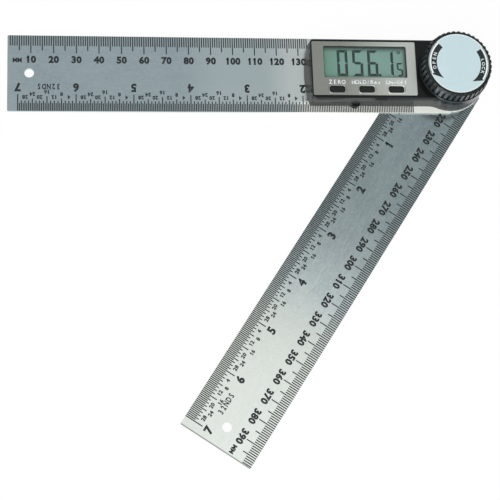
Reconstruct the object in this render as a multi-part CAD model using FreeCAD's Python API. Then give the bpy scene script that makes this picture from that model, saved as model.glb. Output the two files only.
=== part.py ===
import FreeCAD, Part
import math
import os
from FreeCAD import Vector

# A digital protractor: two steel rules on one pivot, with a readout head and a lock knob.
# Sizes are in millimetres. The pivot axis is Z, and z = 0 is the underside of the pivot flange.
# The upper rule and the head lie along -X. The lower rule is turned about the pivot by
# FOLD_ANGLE. Everything in the head takes its place from the readout plate.

# Rules
RULE_REACH = 200.0
RULE_WIDTH = 35.2
RULE_THICKNESS = 1.2
RULE_END_RADIUS = 17.0
RULE_CORNER = 0.5
FOLD_ANGLE = 55.7
HANG_HOLE = 4.2
HANG_HOLE_FROM_END = 9.5

# Pivot
FLANGE_RADIUS = 13.0
FLANGE_THICKNESS = 0.8
HUB_RADIUS = 7.0
STUD_RADIUS = 3.0
STUD_ACROSS_FLATS = 4.8
WASHER_RADIUS = 16.2
WASHER_THICKNESS = 0.2
SLEEVE_FOOT_RADIUS = 9.5
SLEEVE_RADIUS = 5.0
ROTOR_RADIUS = 12.4
ROTOR_THICKNESS = 0.8
LOCK_WASHER_RADIUS = 8.0
LOCK_WASHER_THICKNESS = 0.6
CLIP_RADIUS = 4.2
CLIP_THICKNESS = 0.5
CLIP_GROOVE_DEPTH = 0.8
STUD_BEYOND_CLIP = 0.4

# Head moulding
HEAD_LENGTH = 67.5
HEAD_WIDTH = 29.2
HEAD_HEIGHT = 9.3
HEAD_DRAFT = 0.7
END_BULGE = 2.0
END_LEAN = 1.8
TOP_END_BULGE = 0.2
END_CORNER = 1.2
TOP_EDGE = 0.4
BOSS_RADIUS = 16.75
BOSS_BLEND = 10.0
WALL = 1.4
TOP_WALL = 1.3
POST_HALF = 1.9
POST_FROM_SIDE = 3.7
GUIDE_LENGTH = 5.0
GUIDE_THICKNESS = 1.0

# Readout plate and display
PLATE_END_MARGIN = 0.6
PLATE_TO_PIVOT = 17.7
PLATE_SIDE_MARGIN = 1.95
PLATE_THICKNESS = 0.5
PLATE_RECESS = 0.3
PLATE_CORNER = 0.6
WINDOW_FAR_MARGIN = 5.2
WINDOW_NEAR_MARGIN = 4.2
WINDOW_BACK_MARGIN = 2.1
WINDOW_FRONT_MARGIN = 8.3
WINDOW_CORNER = 0.7
PANE_LEDGE = 0.7
PANE_THICKNESS = 0.6
GLASS_MARGIN = 0.8
GLASS_THICKNESS = 0.7
GLASS_LEDGE = 1.9
HOLDER_WALL = 0.4
HOLDER_RIM = 1.2
ZEBRA_WIDTH = 1.5
ZEBRA_END_MARGIN = 1.3

# Buttons and their switches
BUTTON_NAMES = ("zero_button", "hold_button", "power_button")
BUTTON_FAR_MARGIN = 10.8
BUTTON_NEAR_MARGIN = 9.6
BUTTON_FROM_FRONT = 2.75
BUTTON_LENGTH = 6.7
BUTTON_WIDTH = 2.8
BUTTON_CORNER = 1.0
BUTTON_SUNK = 0.45
BUTTON_FLANGE = 0.8
BUTTON_FLANGE_THICKNESS = 0.7
BUTTON_STEM_HALF = 0.8
BUTTON_TRAVEL = 0.4
SWITCH_LENGTH = 4.4
SWITCH_WIDTH = 3.4
SWITCH_HEIGHT = 0.55

# Circuit board and what is on it
BOARD_THICKNESS = 0.8
BOARD_ABOVE_CELL = 0.8
ENCODER_GAP = 0.4
CHIP_RADIUS = 3.2
CHIP_HEIGHT = 0.7
CHIP_SLOPE = 1.4
CAPACITOR_COUNT = 4
CAPACITOR_LENGTH = 1.6
CAPACITOR_WIDTH = 0.8
CAPACITOR_HEIGHT = 0.6
CAPACITOR_PITCH = 2.2
CHIP_TO_CAPACITORS = 10.0

# Battery, its tray and contacts
CELL_RADIUS = 10.0
CELL_HEIGHT = 3.2
CELL_CAP_RADIUS = 8.6
CELL_CAP_HEIGHT = 0.4
TRAY_SHIFT_X = -3.4
TRAY_SIDE = 1.4
TRAY_FRONT = 2.0
TRAY_FLOOR = 0.5
TRAY_LEDGE = 1.6
TRAY_NOTCH = 6.4
TRAY_ARM_REACH = 7.0
TRAY_RIM_BELOW_CELL = 0.1
NUB_WIDTH = 4.2
NUB_PROUD = 1.3
NUB_HEIGHT = 2.8
FILM_THICKNESS = 0.1
FILM_MARGIN = 0.6
CONTACT_THICKNESS = 0.2
CONTACT_WIDTH = 3.0
CONTACT_HUMP = 2.4
CONTACT_SPACING = 5.2
CONTACT_FROM_CELL = 1.0

# Screws
SCREW_HEAD_RADIUS = 1.8
SCREW_SHANK_RADIUS = 0.9
SCREW_LENGTH = 6.0
BOARD_SCREW_HEAD_RADIUS = 1.3
BOARD_SCREW_HEAD_HEIGHT = 0.45
BOARD_SCREW_SHANK_RADIUS = 0.65
BOARD_SCREW_LENGTH = 2.6
BOARD_POST_HALF = 1.5
BOARD_SCREW_SPREAD = 9.2

# Lock knob
KNOB_RADIUS = 16.2
KNOB_HEIGHT = 7.4
KNOB_SKIRT_HEIGHT = 1.3
KNOB_RIB_FOOT_RADIUS = 15.95
KNOB_RIB_TOP_RADIUS = 15.45
KNOB_RIM_CHAMFER = 0.5
KNOB_SLOT_COUNT = 40
KNOB_SLOT_WIDTH = 1.15
KNOB_SLOT_FLOOR = 14.75
KNOB_WALL = 1.3
KNOB_TOP_WALL = 0.7
KNOB_HUB_RADIUS = 8.6
DISC_RADIUS = 13.85
DISC_THICKNESS = 0.4
DISC_SUNK = 0.1
INSERT_RADIUS = 6.2
INSERT_HEIGHT = 2.9
KNOB_RISE = 1.0

# Clearances
RUNNING_FIT = 0.05
RUNNING_GAP = 0.03
PLAIN_FIT = 0.1
MOVING_GAP = 0.15
BUTTON_FIT = 0.15
SLEEVE_GAP = 0.4
KNOB_GAP = 0.3
EDGE_GAP = 0.4
HUB_BELOW_FACE = 0.1

# Heights of the stack, from the flange up
Z_LOWER_RULE = FLANGE_THICKNESS
Z_WASHER = Z_LOWER_RULE + RULE_THICKNESS
Z_UPPER_RULE = Z_WASHER + WASHER_THICKNESS + RUNNING_GAP
Z_HEAD = Z_UPPER_RULE + RULE_THICKNESS
Z_TOP = Z_HEAD + HEAD_HEIGHT
Z_CEILING = Z_TOP - TOP_WALL
Z_PLATE = Z_TOP - PLATE_RECESS
Z_PLATE_TOP = Z_PLATE + PLATE_THICKNESS
Z_PANE = Z_PLATE - PANE_THICKNESS
Z_TRAY = Z_HEAD + FILM_THICKNESS + PLAIN_FIT
Z_CELL = Z_TRAY + TRAY_FLOOR
Z_CELL_TOP = Z_CELL + CELL_HEIGHT
Z_TRAY_RIM = Z_CELL_TOP - TRAY_RIM_BELOW_CELL
Z_BOARD = Z_CELL_TOP + BOARD_ABOVE_CELL
Z_BOARD_TOP = Z_BOARD + BOARD_THICKNESS
Z_FRONT_GLASS = Z_CEILING - PLAIN_FIT - GLASS_THICKNESS
Z_REAR_GLASS = Z_FRONT_GLASS - GLASS_THICKNESS
Z_ROTOR = Z_BOARD - ENCODER_GAP - ROTOR_THICKNESS
Z_SLEEVE_TOP = Z_TOP + 2 * KNOB_GAP
Z_LOCK_WASHER = Z_SLEEVE_TOP + RUNNING_GAP
Z_INSERT = Z_LOCK_WASHER + LOCK_WASHER_THICKNESS + RUNNING_GAP
Z_CLIP = Z_INSERT + INSERT_HEIGHT + KNOB_RISE + PLAIN_FIT
Z_STUD_END = Z_CLIP + CLIP_THICKNESS + STUD_BEYOND_CLIP
Z_KNOB = Z_TOP + KNOB_GAP
Z_KNOB_TOP = Z_KNOB + KNOB_HEIGHT

# Places in plan, from the readout plate
PLATE_FAR_X = -(HEAD_LENGTH - END_LEAN - PLATE_END_MARGIN)
PLATE_LENGTH = -PLATE_TO_PIVOT - PLATE_FAR_X
PLATE_X = PLATE_FAR_X + PLATE_LENGTH / 2
PLATE_WIDTH = HEAD_WIDTH - 2 * PLATE_SIDE_MARGIN
WINDOW_LENGTH = PLATE_LENGTH - WINDOW_FAR_MARGIN - WINDOW_NEAR_MARGIN
WINDOW_WIDTH = PLATE_WIDTH - WINDOW_BACK_MARGIN - WINDOW_FRONT_MARGIN
WINDOW_X = PLATE_FAR_X + WINDOW_FAR_MARGIN + WINDOW_LENGTH / 2
WINDOW_Y = (WINDOW_FRONT_MARGIN - WINDOW_BACK_MARGIN) / 2
GLASS_LENGTH = WINDOW_LENGTH + 2 * GLASS_MARGIN
GLASS_BACK_Y = WINDOW_Y + WINDOW_WIDTH / 2 + GLASS_MARGIN
REAR_GLASS_FRONT_Y = WINDOW_Y - WINDOW_WIDTH / 2
FRONT_GLASS_FRONT_Y = REAR_GLASS_FRONT_Y - GLASS_LEDGE
HOLDER_LENGTH = GLASS_LENGTH + 2 * (PLAIN_FIT + HOLDER_WALL)
POST_X_OFFSET = HOLDER_LENGTH / 2 + MOVING_GAP + POST_HALF
POST_Y = HEAD_WIDTH / 2 - POST_FROM_SIDE
POSTS = [(WINDOW_X + sx * POST_X_OFFSET, sy * POST_Y) for sx in (-1, 1) for sy in (-1, 1)]
BUTTON_Y = BUTTON_FROM_FRONT - PLATE_WIDTH / 2
BUTTON_PITCH = (PLATE_LENGTH - BUTTON_FAR_MARGIN - BUTTON_NEAR_MARGIN) / 2
BUTTON_XS = [PLATE_FAR_X + BUTTON_FAR_MARGIN + i * BUTTON_PITCH for i in range(3)]
NECK_SCREW_X = -(ROTOR_RADIUS + BOARD_SCREW_HEAD_RADIUS + 2 * BOARD_POST_HALF)
END_SCREW_X = WINDOW_X - POST_X_OFFSET
BOARD_SCREWS = [(END_SCREW_X, 0.0)]
BOARD_SCREWS += [(NECK_SCREW_X, side * BOARD_SCREW_SPREAD / 2) for side in (-1, 1)]
TRAY_X = PLATE_X + TRAY_SHIFT_X
TRAY_HALF = CELL_RADIUS + PLAIN_FIT + TRAY_SIDE
CELL_Y = -HEAD_WIDTH / 2 + TRAY_FRONT + PLAIN_FIT + CELL_RADIUS + HEAD_DRAFT / 2


def disc(radius, z0, z1, x=0.0, y=0.0):
    return Part.makeCylinder(radius, z1 - z0, Vector(x, y, z0))


def ring(outer, inner, z0, z1, x=0.0, y=0.0):
    return disc(outer, z0, z1, x, y).cut(disc(inner, z0, z1, x, y))


def block(x0, x1, y0, y1, z0, z1):
    return Part.makeBox(x1 - x0, y1 - y0, z1 - z0, Vector(x0, y0, z0))


def rounded_block(x, y, length, width, corner, z0, z1):
    plain = block(x - length / 2, x + length / 2, y - width / 2, y + width / 2, z0, z1)
    upright = [e for e in plain.Edges if abs(e.Vertexes[0].Z - e.Vertexes[1].Z) > RUNNING_GAP]
    return plain.makeFillet(corner, upright)


def polygon(radius, count, z, x=0.0, y=0.0):
    """Closed regular outline; its corners lie on the radius, one of them on the +X side."""
    corners = [Vector(x + radius * math.cos(2 * math.pi * i / count),
                      y + radius * math.sin(2 * math.pi * i / count), z) for i in range(count)]
    return Part.makePolygon(corners + corners[:1])


def hex_bar(radius, z0, z1, x, y):
    """Six-sided bar for the hidden shanks of screws and their bores."""
    return Part.Face(polygon(radius, 6, z0, x, y)).extrude(Vector(0, 0, z1 - z0))


def square_post(half, z0, z1, x, y):
    return block(x - half, x + half, y - half, y + half, z0, z1)


def turned(profile):
    """Solid of revolution about the pivot axis from (radius, height) points."""
    points = [Vector(r, 0, z) for r, z in profile]
    face = Part.Face(Part.makePolygon(points + points[:1]))
    return face.revolve(Vector(0, 0, 0), Vector(0, 0, 1), 360)


def turned_at(profile, x, y):
    shape = turned(profile)
    shape.translate(Vector(x, y, 0))
    return shape


def strip(profile, x, width):
    """A bent metal strip: its side view, as (y, height) points, given a width along X."""
    points = [Vector(x - width / 2, y, z) for y, z in profile]
    return Part.Face(Part.makePolygon(points + points[:1])).extrude(Vector(width, 0, 0))


def fused(shapes):
    return shapes[0].multiFuse(shapes[1:]).removeSplitter()


def with_flats(radius, across, z0, z1):
    """A round bar about the pivot axis with two flats, or the hole that fits one."""
    half = across / 2
    return disc(radius, z0, z1).common(block(-half, half, -radius, radius, z0, z1))


def rule(z):
    """One steel rule along -X: a square free end and a round end about the pivot."""
    half = RULE_WIDTH / 2
    bar = block(-RULE_REACH, 0, -half, half, z, z + RULE_THICKNESS)
    corners = [e for e in bar.Edges if e.BoundBox.XMax < RUNNING_GAP - RULE_REACH and
               e.BoundBox.ZLength > RULE_THICKNESS / 2]
    bar = bar.makeFillet(RULE_CORNER, corners)
    shape = fused([bar, disc(RULE_END_RADIUS, z, z + RULE_THICKNESS)])
    hole_x = HANG_HOLE_FROM_END - RULE_REACH
    return shape.cut(disc(HANG_HOLE / 2, z, z + RULE_THICKNESS, hole_x))


def lower_rule():
    bore = disc(HUB_RADIUS + RUNNING_FIT, Z_LOWER_RULE, Z_WASHER)
    shape = rule(Z_LOWER_RULE).cut(bore)
    shape.rotate(Vector(0, 0, 0), Vector(0, 0, 1), FOLD_ANGLE)
    return shape


def upper_rule():
    bore = disc(HUB_RADIUS + RUNNING_FIT, Z_UPPER_RULE, Z_HEAD)
    shape = rule(Z_UPPER_RULE).cut(bore)
    for x, y in POSTS:
        shape = shape.cut(turned_at(countersink(PLAIN_FIT), x, y))
    return shape


def countersink(clearance):
    """Side view of a screw's head, or of its hole through the rule: wide below, narrow above."""
    neck = SCREW_SHANK_RADIUS + RUNNING_FIT + clearance
    return [(0, Z_UPPER_RULE), (SCREW_HEAD_RADIUS + clearance, Z_UPPER_RULE), (neck, Z_HEAD),
            (0, Z_HEAD)]


def pivot_hub():
    """Flange under the lower rule, hub through both rules, and the double-flat stud."""
    flange = disc(FLANGE_RADIUS, 0, FLANGE_THICKNESS)
    z_hub_top = Z_HEAD - HUB_BELOW_FACE
    hub = disc(HUB_RADIUS, 0, z_hub_top)
    stud = with_flats(STUD_RADIUS, STUD_ACROSS_FLATS, 0, Z_STUD_END)
    groove_floor = STUD_RADIUS - CLIP_GROOVE_DEPTH
    groove = ring(STUD_RADIUS + PLAIN_FIT, groove_floor, Z_CLIP, Z_CLIP + CLIP_THICKNESS)
    return fused([flange, hub, stud]).cut(groove)


def rotor_sleeve():
    """Keyed to the stud: its foot presses on the upper rule, and the rotor lies on the foot."""
    foot_z = Z_HEAD + RUNNING_GAP
    body = turned([(0, foot_z), (SLEEVE_FOOT_RADIUS, foot_z), (SLEEVE_FOOT_RADIUS, Z_ROTOR),
                   (SLEEVE_RADIUS, Z_ROTOR), (SLEEVE_RADIUS, Z_SLEEVE_TOP), (0, Z_SLEEVE_TOP)])
    bore = with_flats(STUD_RADIUS + RUNNING_FIT, STUD_ACROSS_FLATS + 2 * RUNNING_FIT, 0, Z_SLEEVE_TOP)
    return body.cut(bore)


def encoder_rotor():
    return ring(ROTOR_RADIUS, SLEEVE_RADIUS, Z_ROTOR, Z_ROTOR + ROTOR_THICKNESS)


def lock_washer():
    top = Z_LOCK_WASHER + LOCK_WASHER_THICKNESS
    bore = with_flats(STUD_RADIUS + RUNNING_FIT, STUD_ACROSS_FLATS + 2 * RUNNING_FIT,
                      Z_LOCK_WASHER, top)
    return disc(LOCK_WASHER_RADIUS, Z_LOCK_WASHER, top).cut(bore)


def retaining_clip():
    """Open spring clip in the groove of the stud; it stops the knob from unscrewing."""
    inner = STUD_RADIUS - CLIP_GROOVE_DEPTH
    clip = ring(CLIP_RADIUS, inner, Z_CLIP, Z_CLIP + CLIP_THICKNESS)
    mouth = block(0, CLIP_RADIUS, -inner, inner, Z_CLIP, Z_CLIP + CLIP_THICKNESS)
    return clip.cut(mouth)


def head_outline(z, inset, lean, draft, bulge, corner):
    """Plan outline of the head: bulged end, corners, straight sides, blends and round boss."""
    half = HEAD_WIDTH / 2 - draft - inset
    boss = BOSS_RADIUS - draft - inset
    blend = BOSS_BLEND + draft + inset
    end = HEAD_LENGTH - lean - inset
    blend_x = -math.sqrt((boss + blend) ** 2 - (half + blend) ** 2)
    blend_y = half + blend
    meet = boss / (boss + blend)
    middle_angle = (math.pi / 2 + math.atan2(blend_y, -blend_x)) / 2
    end_radius = (half ** 2 + bulge ** 2) / (2 * bulge)
    end_x = end_radius - end
    corner_y = half - corner
    corner_x = end_x - math.sqrt((end_radius - corner) ** 2 - corner_y ** 2)
    corner_turn = math.atan2(corner_y, end_x - corner_x)
    corner_angle = (math.pi / 2 + corner_turn) / 2

    def at(x, y):
        return Vector(x, y, z)

    def side(sign):
        """Corner arc, straight side and blend of one side, from the end towards the boss."""
        to_end = at(end_x - end_radius * math.cos(corner_turn), sign * end_radius * math.sin(corner_turn))
        on_corner = at(corner_x - corner * math.cos(corner_angle),
                       sign * (corner_y + corner * math.sin(corner_angle)))
        arc = corner and Part.Arc(to_end, on_corner, at(corner_x, sign * half)).toShape()
        line = Part.makeLine(at(corner_x, sign * half), at(blend_x, sign * half))
        on_blend = at(blend_x + blend * math.cos(middle_angle),
                      sign * (blend_y - blend * math.sin(middle_angle)))
        sweep = Part.Arc(at(blend_x, sign * half), on_blend,
                         at(blend_x * meet, sign * blend_y * meet)).toShape()
        return to_end, [arc, line, sweep] if corner else [line, sweep]

    front_end, front = side(-1)
    back_end, back = side(1)
    boss_arc = Part.Arc(at(blend_x * meet, -blend_y * meet), at(boss, 0),
                        at(blend_x * meet, blend_y * meet)).toShape()
    end_arc = Part.Arc(back_end, at(-end, 0), front_end).toShape()
    return Part.Wire(front + [boss_arc] + back[::-1] + [end_arc])


def head_outside():
    """The head's outer form: walls that lean inwards as the mould needs, and a broken top edge."""
    foot = head_outline(Z_HEAD, 0, 0, 0, END_BULGE, END_CORNER)
    top = head_outline(Z_TOP, 0, END_LEAN, HEAD_DRAFT, TOP_END_BULGE, END_CORNER)
    form = Part.makeLoft([foot, top], True, True)
    rim = [e for e in form.Edges if e.BoundBox.ZMin > Z_TOP - RUNNING_GAP]
    return form.makeChamfer(TOP_EDGE, rim)


def head_cavity():
    """Room inside the head. Its walls are upright, so the leaning outer ones thicken downwards."""
    inner = head_outline(Z_HEAD, WALL, END_LEAN * 2 / 3, HEAD_DRAFT, TOP_END_BULGE, 0)
    return Part.Face(inner).extrude(Vector(0, 0, Z_CEILING - Z_HEAD))


def button_hole(x, clearance, z0, z1):
    return rounded_block(x, BUTTON_Y, BUTTON_LENGTH + 2 * clearance, BUTTON_WIDTH + 2 * clearance,
                         BUTTON_CORNER, z0, z1)


def window_block(margin, z0, z1):
    half_length = WINDOW_LENGTH / 2 + margin
    half_width = WINDOW_WIDTH / 2 + margin
    return block(WINDOW_X - half_length, WINDOW_X + half_length, WINDOW_Y - half_width,
                 WINDOW_Y + half_width, z0, z1)


def head_housing(outside):
    """The moulded head: walls, screw posts, tray slot and guides, display and button openings."""
    inner = [square_post(POST_HALF, Z_HEAD, Z_CEILING, x, y) for x, y in POSTS]
    inner += [square_post(BOARD_POST_HALF, Z_BOARD_TOP, Z_CEILING, x, y) for x, y in BOARD_SCREWS]
    front = -HEAD_WIDTH / 2 + WALL / 2
    for side in (-1, 1):
        near = TRAY_X + side * (TRAY_HALF + MOVING_GAP)
        far = near + side * GUIDE_THICKNESS
        inner.append(block(min(near, far), max(near, far), front, front + GUIDE_LENGTH,
                           Z_HEAD, Z_TRAY_RIM))
    housing = outside.cut(head_cavity()).multiFuse([part.common(outside) for part in inner])
    cuts = [hex_bar(SCREW_SHANK_RADIUS, Z_HEAD, Z_UPPER_RULE + SCREW_LENGTH + EDGE_GAP, x, y)
            for x, y in POSTS]
    cuts += [hex_bar(BOARD_SCREW_SHANK_RADIUS, Z_BOARD_TOP, Z_BOARD + BOARD_SCREW_LENGTH, x, y)
             for x, y in BOARD_SCREWS]
    cuts.append(disc(SLEEVE_RADIUS + SLEEVE_GAP, Z_CEILING, Z_TOP))
    cuts.append(rounded_block(PLATE_X, 0, PLATE_LENGTH + 2 * PLAIN_FIT, PLATE_WIDTH + 2 * PLAIN_FIT,
                              PLATE_CORNER, Z_PLATE, Z_TOP))
    cuts.append(window_block(0, Z_CEILING, Z_PLATE))
    cuts.append(window_block(PANE_LEDGE + PLAIN_FIT, Z_PANE, Z_PLATE))
    hole_half = BUTTON_WIDTH / 2 + BUTTON_FIT
    hole_reach = BUTTON_LENGTH / 2 + BUTTON_FIT
    cuts += [block(x - hole_reach, x + hole_reach, BUTTON_Y - hole_half, BUTTON_Y + hole_half,
                   Z_CEILING, Z_PLATE) for x in BUTTON_XS]
    slot_half = TRAY_HALF + MOVING_GAP
    cuts.append(block(TRAY_X - slot_half, TRAY_X + slot_half, -HEAD_WIDTH, front + GUIDE_LENGTH / 2,
                      Z_HEAD, Z_TRAY_RIM + MOVING_GAP))
    return housing.cut(Part.makeCompound(cuts)).removeSplitter()


def readout_plate():
    """Thin printed metal plate on the head, with the window and three button holes."""
    plate = rounded_block(PLATE_X, 0, PLATE_LENGTH, PLATE_WIDTH, PLATE_CORNER, Z_PLATE, Z_PLATE_TOP)
    cuts = [button_hole(x, BUTTON_FIT, Z_PLATE, Z_PLATE_TOP) for x in BUTTON_XS]
    cuts.append(rounded_block(WINDOW_X, WINDOW_Y, WINDOW_LENGTH, WINDOW_WIDTH, WINDOW_CORNER,
                              Z_PLATE, Z_PLATE_TOP))
    return plate.cut(Part.makeCompound(cuts))


def lcd_window():
    return window_block(PANE_LEDGE, Z_PANE, Z_PLATE)


def glass_block(front_y, z0, z1, clearance=0.0):
    half = GLASS_LENGTH / 2 + clearance
    return block(WINDOW_X - half, WINDOW_X + half, front_y - clearance, GLASS_BACK_Y + clearance,
                 z0, z1)


def lcd_panel():
    """Two bonded glasses; the front one reaches further forward over the contact strip."""
    front = glass_block(FRONT_GLASS_FRONT_Y, Z_FRONT_GLASS, Z_FRONT_GLASS + GLASS_THICKNESS)
    rear = glass_block(REAR_GLASS_FRONT_Y, Z_REAR_GLASS, Z_FRONT_GLASS)
    return fused([front, rear])


def zebra_place(clearance=0.0):
    half = GLASS_LENGTH / 2 - ZEBRA_END_MARGIN + clearance
    middle = (FRONT_GLASS_FRONT_Y + REAR_GLASS_FRONT_Y) / 2
    reach = ZEBRA_WIDTH / 2 + clearance
    return block(WINDOW_X - half, WINDOW_X + half, middle - reach, middle + reach,
                 Z_BOARD_TOP, Z_FRONT_GLASS)


def lcd_holder():
    """Frame on the board that centres the glass and the contact strip."""
    outer = PLAIN_FIT + HOLDER_WALL
    frame = glass_block(FRONT_GLASS_FRONT_Y, Z_BOARD_TOP, Z_CEILING - PLAIN_FIT, outer)
    inner_half = GLASS_LENGTH / 2 - HOLDER_RIM
    middle = block(WINDOW_X - inner_half, WINDOW_X + inner_half, REAR_GLASS_FRONT_Y + HOLDER_RIM,
                   GLASS_BACK_Y - HOLDER_RIM, Z_BOARD_TOP, Z_CEILING)
    pockets = [glass_block(FRONT_GLASS_FRONT_Y, Z_FRONT_GLASS, Z_CEILING, PLAIN_FIT),
               glass_block(REAR_GLASS_FRONT_Y, Z_REAR_GLASS, Z_CEILING, PLAIN_FIT),
               zebra_place(RUNNING_FIT), middle]
    return frame.cut(Part.makeCompound(pockets))


def button(x):
    """Key cap that comes up through the plate, its flange under the head's ceiling, its stem."""
    flange_top = Z_CEILING - MOVING_GAP
    flange_foot = flange_top - BUTTON_FLANGE_THICKNESS
    stem_foot = Z_BOARD_TOP + SWITCH_HEIGHT + BUTTON_TRAVEL + RUNNING_FIT
    cap = button_hole(x, 0, flange_top, Z_PLATE_TOP - BUTTON_SUNK)
    half_length = BUTTON_LENGTH / 2 + BUTTON_FLANGE
    half_width = BUTTON_WIDTH / 2 + BUTTON_FLANGE
    flange = block(x - half_length, x + half_length, BUTTON_Y - half_width, BUTTON_Y + half_width,
                   flange_foot, flange_top)
    stem = square_post(BUTTON_STEM_HALF, stem_foot, flange_foot, x, BUTTON_Y)
    return fused([cap, flange, stem])


def key_switches():
    half_length = SWITCH_LENGTH / 2
    half_width = SWITCH_WIDTH / 2
    return Part.makeCompound([
        block(x - half_length, x + half_length, BUTTON_Y - half_width, BUTTON_Y + half_width,
              Z_BOARD_TOP, Z_BOARD_TOP + SWITCH_HEIGHT) for x in BUTTON_XS])


def main_board():
    """Board under the display, necked between the posts, with the encoder ring at the pivot."""
    half_length = HOLDER_LENGTH / 2
    half_width = HEAD_WIDTH / 2 - WALL - HEAD_DRAFT - EDGE_GAP / 2
    neck = POST_Y - POST_HALF - EDGE_GAP
    ring_radius = BOSS_RADIUS - WALL - HEAD_DRAFT - EDGE_GAP
    parts = [block(WINDOW_X - half_length, WINDOW_X + half_length, -half_width, half_width,
                   Z_BOARD, Z_BOARD_TOP),
             block(WINDOW_X, 0, -neck, neck, Z_BOARD, Z_BOARD_TOP),
             block(END_SCREW_X - BOARD_POST_HALF, WINDOW_X, -neck / 2, neck / 2,
                   Z_BOARD, Z_BOARD_TOP),
             disc(ring_radius, Z_BOARD, Z_BOARD_TOP)]
    cuts = [hex_bar(BOARD_SCREW_SHANK_RADIUS + PLAIN_FIT, Z_BOARD, Z_BOARD_TOP, x, y)
            for x, y in BOARD_SCREWS]
    cuts.append(disc(SLEEVE_RADIUS + SLEEVE_GAP, Z_BOARD, Z_BOARD_TOP))
    return fused(parts).cut(Part.makeCompound(cuts))


def chip_blob():
    """Potting drop over the chip, with a sloping rim."""
    top = Z_BOARD_TOP + CHIP_HEIGHT
    return turned_at([(0, Z_BOARD_TOP), (CHIP_RADIUS, Z_BOARD_TOP), (CHIP_RADIUS - CHIP_SLOPE, top),
                      (0, top)], WINDOW_X, WINDOW_Y)


def capacitors():
    pieces = []
    x = WINDOW_X + CHIP_TO_CAPACITORS
    for i in range(CAPACITOR_COUNT):
        y = WINDOW_Y + (i - (CAPACITOR_COUNT - 1) / 2) * CAPACITOR_PITCH
        pieces.append(block(x - CAPACITOR_LENGTH / 2, x + CAPACITOR_LENGTH / 2,
                            y - CAPACITOR_WIDTH / 2, y + CAPACITOR_WIDTH / 2,
                            Z_BOARD_TOP, Z_BOARD_TOP + CAPACITOR_HEIGHT))
    return Part.makeCompound(pieces)


def housing_screws():
    """Countersunk screws from under the upper rule into the head's posts."""
    top = Z_UPPER_RULE + SCREW_LENGTH
    return Part.makeCompound([
        fused([turned_at(countersink(0), x, y), hex_bar(SCREW_SHANK_RADIUS, Z_HEAD, top, x, y)])
        for x, y in POSTS])


def board_screws():
    """Six-sided head under the board and shank up into a post."""
    head_foot = Z_BOARD - BOARD_SCREW_HEAD_HEIGHT
    top = Z_BOARD + BOARD_SCREW_LENGTH
    return Part.makeCompound([
        fused([hex_bar(BOARD_SCREW_HEAD_RADIUS, head_foot, Z_BOARD, x, y),
               hex_bar(BOARD_SCREW_SHANK_RADIUS, Z_BOARD, top, x, y)])
        for x, y in BOARD_SCREWS])


def coin_cell():
    """Cell with its larger can upwards and the smaller cap below."""
    z_can = Z_CELL + CELL_CAP_HEIGHT
    return fused([disc(CELL_CAP_RADIUS, Z_CELL, z_can, TRAY_X, CELL_Y),
                  disc(CELL_RADIUS, z_can, Z_CELL_TOP, TRAY_X, CELL_Y)])


def battery_tray(outside):
    """Drawer open at the back, with a ledge under the cell and a finger nub in front."""
    back = CELL_Y + TRAY_ARM_REACH
    body = block(TRAY_X - TRAY_HALF, TRAY_X + TRAY_HALF, -HEAD_WIDTH, back, Z_TRAY, Z_TRAY_RIM)
    pocket = disc(CELL_RADIUS + PLAIN_FIT, Z_CELL, Z_TRAY_RIM, TRAY_X, CELL_Y)
    opening = disc(CELL_RADIUS - TRAY_LEDGE, Z_TRAY, Z_CELL, TRAY_X, CELL_Y)
    notch = block(TRAY_X - TRAY_NOTCH / 2, TRAY_X + TRAY_NOTCH / 2, CELL_Y, back,
                  Z_TRAY, Z_TRAY_RIM)
    body = body.common(outside).cut(Part.makeCompound([pocket, opening, notch]))
    nub_radius = ((NUB_WIDTH / 2) ** 2 + NUB_PROUD ** 2) / (2 * NUB_PROUD)
    nub_y = -HEAD_WIDTH / 2 - NUB_PROUD + nub_radius
    nub = disc(nub_radius, Z_TRAY, Z_TRAY + NUB_HEIGHT, TRAY_X, nub_y)
    nub = nub.common(block(TRAY_X - NUB_WIDTH, TRAY_X + NUB_WIDTH, -HEAD_WIDTH,
                           -HEAD_WIDTH / 2 + TRAY_FRONT / 2, Z_TRAY, Z_TRAY_RIM))
    return fused([body, nub])


def contact_positive():
    """Leaf that hangs from the board and rests on top of the cell."""
    top = Z_CELL_TOP + RUNNING_FIT + CONTACT_THICKNESS
    back = CELL_Y + CELL_RADIUS + CONTACT_FROM_CELL
    front = back - CONTACT_THICKNESS
    profile = [(CELL_Y, top - CONTACT_THICKNESS), (back, top - CONTACT_THICKNESS), (back, Z_BOARD),
               (front, Z_BOARD), (front, top), (CELL_Y, top)]
    return strip(profile, TRAY_X - CONTACT_SPACING, CONTACT_WIDTH)


def contact_negative():
    """Strip down from the board, along the film, with a hump under the cell."""
    foot = Z_HEAD + FILM_THICKNESS
    top = foot + CONTACT_THICKNESS
    back = CELL_Y + CELL_RADIUS + CONTACT_FROM_CELL
    hump = Z_CELL - RUNNING_FIT
    profile = [(CELL_Y - CONTACT_HUMP, foot), (back, foot), (back, Z_BOARD),
               (back - CONTACT_THICKNESS, Z_BOARD), (back - CONTACT_THICKNESS, top),
               (CELL_Y + CONTACT_HUMP, top), (CELL_Y + CONTACT_HUMP / 3, hump),
               (CELL_Y - CONTACT_HUMP / 3, hump), (CELL_Y - CONTACT_HUMP, top)]
    return strip(profile, TRAY_X, CONTACT_WIDTH)


def insulating_film():
    """Film on the rule under the tray, so that the battery never touches bare steel."""
    half = HOLDER_LENGTH / 2 - FILM_MARGIN
    front = -(HEAD_WIDTH / 2 - WALL - FILM_MARGIN) + GUIDE_LENGTH
    back = HEAD_WIDTH / 2 - WALL - HEAD_DRAFT - FILM_MARGIN
    return block(WINDOW_X - half, WINDOW_X + half, front, back, Z_HEAD, Z_HEAD + FILM_THICKNESS)


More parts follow.
